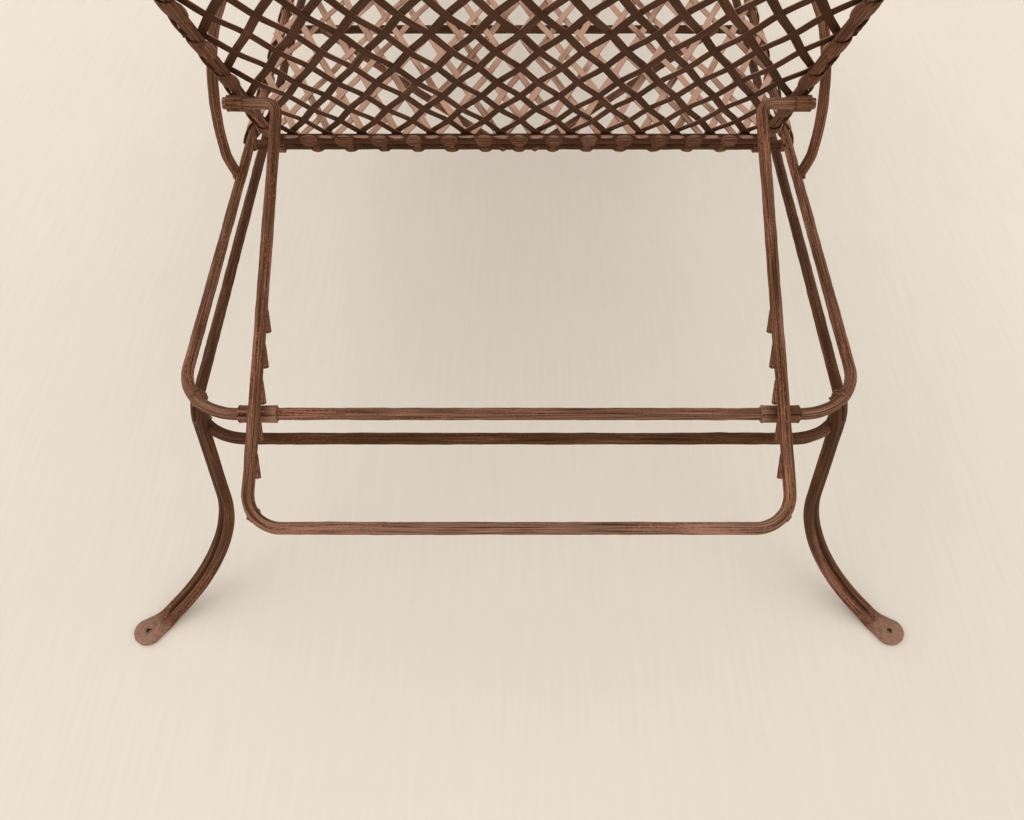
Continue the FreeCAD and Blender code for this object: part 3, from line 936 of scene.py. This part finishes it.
class CHAISE_OT_back(Operator):
    """Bent frame of the back, its bottom rail, woven straps and folds"""

    bl_idname = "chaise.back"
    bl_label = "Back"

    def execute(self, context):
        s = sizes()
        length = s.back_rows * s.back_row
        top = s.back_foot + length
        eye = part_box("hinge_eye_left")
        foot = (eye[1].z - eye[0].z) / 2
        corners = [on_back(-BACK_HALF_W, foot, 0), on_back(-BACK_HALF_W, top, 0),
                   on_back(BACK_HALF_W, top, 0), on_back(BACK_HALF_W, foot, 0)]
        # The back's frame is darker
        rod("back_frame", "back", bent_path(corners, [s.back_corner] * 4), RAIL_R, 30, worn=-0.3)
        inside = BACK_HALF_W - 0.5 * RAIL_R
        ends = on_back(-inside, s.back_foot, 0), on_back(inside, s.back_foot, 0)
        column = 2 * BACK_HALF_W / s.back_columns
        spot_angle, spot_turn, spot_half = radians(30), radians(28), 11 * MM
        # The bottom rail is darkened with painted shade, and pale spots are painted highlights for the lit
        # tops of the straps' folds
        painted_shade, contrast, edge, ragged = -0.8, 1.8, 1.5, 0.5

        def worn(run, angle, way):
            """Painted shade on the rail, with pale uneven spots under the folds of the straps, painted as
            their highlights.
            """
            place = (run - inside + BACK_HALF_W) / column - 0.5
            aside = abs(place - round(place)) * column / spot_half
            around = (angle - spot_angle) / spot_turn
            uneven = ragged * wave(run * 90, angle * 3, 2.0)
            spot = edge * (1 + uneven - aside * aside - around * around)
            return painted_shade + contrast * min(1.0, max(0.0, spot))

        straight("back_bottom_rail", "back", *ends, RAIL_R, 31, worn)

        def lay(x, y, z):
            return on_back(x, s.back_foot + y, z)

        field = Lattice(BACK_HALF_W, length, s.back_columns, s.back_rows, s.back_corner, lay)
        field.fill("back", "back", -1, BACK_HALF_W, lambda point: 0.0)
        return {"FINISHED"}


class CHAISE_OT_prop(Operator):
    """The bail that props the back, with its two racks of saw teeth"""

    bl_idname = "chaise.prop"
    bl_label = "Prop"

    def execute(self, context):
        s = sizes()
        low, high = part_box("prop_bail")
        tail = Vector((0, low.y + RAIL_R, low.z + RAIL_R))
        journal = ACROSS * high.x
        elbow = ACROSS * PROP_HALF_W
        points = [PIVOT - journal, PIVOT - elbow, tail - elbow]
        points += [tail + elbow, PIVOT + elbow, PIVOT + journal]
        path = bent_path(points, [0, s.prop_elbow, s.prop_corner, s.prop_corner, s.prop_elbow, 0])
        # The tail bar is made paler with wear and painted light, the arms slightly darker
        rod("prop_bail", "prop", path, RAIL_R, 33, lit_and_rubbed_across(flat=0.38, steep=-0.05))
        for side, hand in SIDES:
            dress(self.rack("rack_" + hand, side, tail), "prop", ["rack_" + hand], 30)
        return {"FINISHED"}

    def rack(self, node, side, tail):
        """Saw teeth, each a ramp that ends in a square step."""
        s = sizes()
        along = (tail - PIVOT).normalized()
        below = along.cross(ACROSS)
        below = below if below.z < 0 else -below
        outward = ACROSS * side
        depth_way = below * cos(s.tooth_turn) - outward * sin(s.tooth_turn)
        width_way = below * sin(s.tooth_turn) + outward * cos(s.tooth_turn)
        axis = PIVOT + outward * PROP_HALF_W
        corners = [v.co - axis for v in frame["nodes"][node].data.vertices]
        last = max(c.dot(along) for c in corners)
        deep = max(c.dot(depth_way) for c in corners)
        half_wide = max(c.dot(width_way) for c in corners)
        ways = (along, depth_way, width_way)
        parts = []
        for k in range(s.tooth_count):
            step = last - k * s.tooth_pitch
            parts.append(self.tooth("%s_%d" % (node, k), axis, ways, step, deep, half_wide))
        return joined(node + "_teeth", parts)

    def tooth(self, name, axis, ways, step, deep, half_wide):
        """A cube drawn out into a wedge with worn edges."""
        s = sizes()
        along, depth_way, width_way = ways
        root, ramp_start = 0.6 * RAIL_R, 0.9 * RAIL_R
        pick()
        bpy.ops.mesh.primitive_cube_add(size=2)
        piece = newest(name)
        for vertex in piece.data.vertices:
            a, b, c = vertex.co
            reach = step if a > 0 else step - s.tooth_ramp
            depth = root if b < 0 else (deep if a > 0 else ramp_start)
            vertex.co = axis + along * reach + depth_way * depth + width_way * (c * half_wide)
        close_up()
        soft = piece.modifiers.new("worn_edges", "BEVEL")
        soft.width = 0.7 * MM
        soft.segments = 3
        bpy.ops.object.modifier_apply(modifier=soft.name)
        grain = piece.data.attributes.new("grain", "FLOAT_VECTOR", "POINT")
        for vertex in piece.data.vertices:
            local = vertex.co - axis
            grain.data[vertex.index].vector = [local.dot(way) for way in ways]
        return piece


class CHAISE_OT_welds(Operator):
    """Weld metal where the rods of the frame meet"""

    bl_idname = "chaise.welds"
    bl_label = "Welds"

    # At each leg's top: how far inside its outer face in millimetres, height, and half sizes in millimetres
    LEG_WELDS = ((6, RAIL_Z - RAIL_R, (8, 8, 5)), (6, RAIL_Z + 0.5 * MM, (7, 7, 7)),
                 (1, LOW_Z - RAIL_R, (8, 8, 4)), (1, LOW_Z + RAIL_R, (8, 8, 4)))

    # Half sizes at the arms' feet, the cross bars' ends and the prop's tail corners, in millimetres
    ARM_WELD = Vector((5, 9, 5.5))
    BAR_WELD = Vector((4, 8, 7))
    TAIL_WELD = Vector((6, 7, 5))

    def execute(self, context):
        s = sizes()
        spots = []
        corner = s.frame_corner
        for side_y in (-1, 1):
            for side_x, hand in SIDES:
                out = Vector((side_x * cos(s.leg_splay), side_y * sin(s.leg_splay), 0))
                base = Vector((side_x * (HALF_W - corner), side_y * (HALF_L - corner), 0))
                top = base + out * (corner + s.leg_offset)
                for inset, z, reach in self.LEG_WELDS:
                    spots.append((top - out * (inset * MM) + UP * z, Vector(reach) * MM))
        for side, hand in SIDES:
            low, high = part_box("arm_" + hand)
            for y in (low.y + RAIL_R, high.y - RAIL_R):
                spots.append((Vector((side * (HALF_W + RAIL_R), y, RAIL_Z)), self.ARM_WELD * MM))
            for y, z in ((HINGE.y, RAIL_Z), (CROSS_Y, LOW_Z)):
                spots.append((Vector((side * (HALF_W - RAIL_R), y, z)), self.BAR_WELD * MM))
        parts = [weld("weld_%d" % i, centre, reach, i) for i, (centre, reach) in enumerate(spots)]
        dress(joined("frame_welds", parts), "frame")
        low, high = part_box("prop_bail")
        lug_x = PROP_HALF_W + 0.2 * RAIL_R - 0.2 * s.prop_corner
        lug_y = low.y + 0.6 * s.prop_corner
        lug_z = low.z + 1.3 * RAIL_R
        parts = []
        for side, hand in SIDES:
            lug = Vector((side * lug_x, lug_y, lug_z))
            parts.append(weld("tail_weld_" + hand, lug, self.TAIL_WELD * MM, 60 + side))
        dress(joined("prop_welds", parts), "prop")
        return {"FINISHED"}


class CHAISE_OT_stage(Operator):
    """Pale floor, soft light and the camera"""

    bl_idname = "chaise.stage"
    bl_label = "Stage"

    # Name, place and power of each lamp, their spread, and the point that they face
    LAMPS = (("left", (-2.6, 0.2, 1.6), 1.65), ("right", (2.6, -0.6, 1.6), 1.22),
             ("front", (0.0, -3.4, 1.7), 0.35))
    LAMP_SPREAD = radians(95)
    LAMP_AIM = Vector((0, -0.3, 0.2))
    SKY_COLOUR = (1.0, 0.98, 0.95, 1.0)
    SKY_STRENGTH = 0.54
    FLOOR_SIZE = 160

    # Waves per metre, detail and roughness of the floor's clouds and broom marks, and their shade
    CLOUD = (1.6, 1.6, 1.6), 4, 0.5
    BROOM = (150, 9, 1), 3, 0.5
    FLOOR_SHADE = 0.95

    def execute(self, context):
        self.floor()
        for name, place, power in self.LAMPS:
            self.light(name, place, power)
        self.surroundings(context)
        context.scene.view_settings.view_transform = "Standard"
        self.camera(context)
        return {"FINISHED"}

    def surroundings(self, context):
        """Even light from all round, which shows as a pale backdrop."""
        world = bpy.data.worlds.new("studio")
        world.use_nodes = True
        tree = world.node_tree
        sky = tree.nodes["Background"]
        sky.inputs["Color"].default_value = self.SKY_COLOUR
        sky.inputs["Strength"].default_value = self.SKY_STRENGTH
        start = Shade(tree)
        rays = ("Is Camera Ray", "Is Glossy Ray", "Is Transmission Ray")
        camera, glossy, through = [start.node("ShaderNodeLightPath", None, None, ray) for ray in rays]
        backdrop = start.node("ShaderNodeBackground", None, {"Color": (*colours().floor, 1.0)})
        light = Shade(tree, sky.outputs[0])
        seen = camera + glossy + through
        shown = start.node("ShaderNodeMixShader", None, {0: seen, 1: light, 2: backdrop})
        tree.links.new(shown.socket, tree.nodes["World Output"].inputs["Surface"])
        context.scene.world = world

    def floor(self):
        pick()
        bpy.ops.mesh.primitive_plane_add(size=self.FLOOR_SIZE)
        ground = newest("floor")
        material = bpy.data.materials.new("pale_floor")
        material.use_nodes = True
        tree = material.node_tree
        shader = tree.nodes["Principled BSDF"]
        start = Shade(tree)
        place = start.node("ShaderNodeTexCoord", None, None, "Object")
        cloud = place.clouds(*self.CLOUD)
        broom = place.clouds(*self.BROOM)
        base = colours().floor
        worn = [self.FLOOR_SHADE * c for c in base]
        swept = (0.6 * cloud + 0.4 * broom).step(0.3, 0.7).tint(worn, base)
        tree.links.new(swept.socket, shader.inputs["Base Color"])
        shader.inputs["Roughness"].default_value = 0.85
        ground.data.materials.append(material)

    def light(self, name, place, power):
        bpy.ops.object.light_add(type="SUN", location=place)
        lamp = newest(name)
        lamp.data.angle = self.LAMP_SPREAD
        lamp.data.energy = power
        aim = self.LAMP_AIM - Vector(place)
        lamp.rotation_euler = aim.to_track_quat("-Z", "Y").to_euler()

    def camera(self, context):
        """The photograph's view, from its solved focal length, slope and centre column in pixels."""
        photo_width = 1024
        focal_px = 960
        sensor = 36
        centre_column = 519
        view_down = radians(52.264)
        place = (0, -1.2799, 1.0122)
        bpy.ops.object.camera_add(location=place, rotation=(pi / 2 - view_down, 0, 0))
        camera = bpy.context.object
        camera.data.sensor_width = sensor
        camera.data.lens = focal_px * sensor / photo_width
        camera.data.shift_x = (photo_width / 2 - centre_column) / photo_width
        context.scene.camera = camera


class CHAISE_PT_panel(Panel):
    """Lists the chaise's pieces in the sidebar"""

    bl_idname = "CHAISE_PT_panel"
    bl_label = "Chaise longue"
    bl_space_type = "VIEW_3D"
    bl_region_type = "UI"
    bl_category = "Chaise"

    def draw(self, context):
        for operator in OPERATORS:
            self.layout.operator(operator.bl_idname)
        for group in (context.scene.chaise_sizes, context.scene.chaise_colours):
            for name in group.__annotations__:
                self.layout.prop(group, name)


OPERATORS = (CHAISE_OT_rails, CHAISE_OT_legs, CHAISE_OT_arms, CHAISE_OT_rings, CHAISE_OT_seat,
             CHAISE_OT_back, CHAISE_OT_prop, CHAISE_OT_welds, CHAISE_OT_stage)
CLASSES = (ChaiseSizes, ChaiseColours, *OPERATORS, CHAISE_PT_panel)


def register():
    for cls in CLASSES:
        bpy.utils.register_class(cls)
    bpy.types.Scene.chaise_sizes = PointerProperty(type=ChaiseSizes)
    bpy.types.Scene.chaise_colours = PointerProperty(type=ChaiseColours)


def unregister():
    del bpy.types.Scene.chaise_colours
    del bpy.types.Scene.chaise_sizes
    for cls in reversed(CLASSES):
        bpy.utils.unregister_class(cls)


def main():
    register()
    bpy.ops.chaise.rails()
    bpy.ops.chaise.legs()
    bpy.ops.chaise.arms()
    bpy.ops.chaise.rings()
    bpy.ops.chaise.seat()
    bpy.ops.chaise.back()
    bpy.ops.chaise.prop()
    bpy.ops.chaise.welds()
    bpy.ops.chaise.stage()


if __name__ == "__main__":
    main()
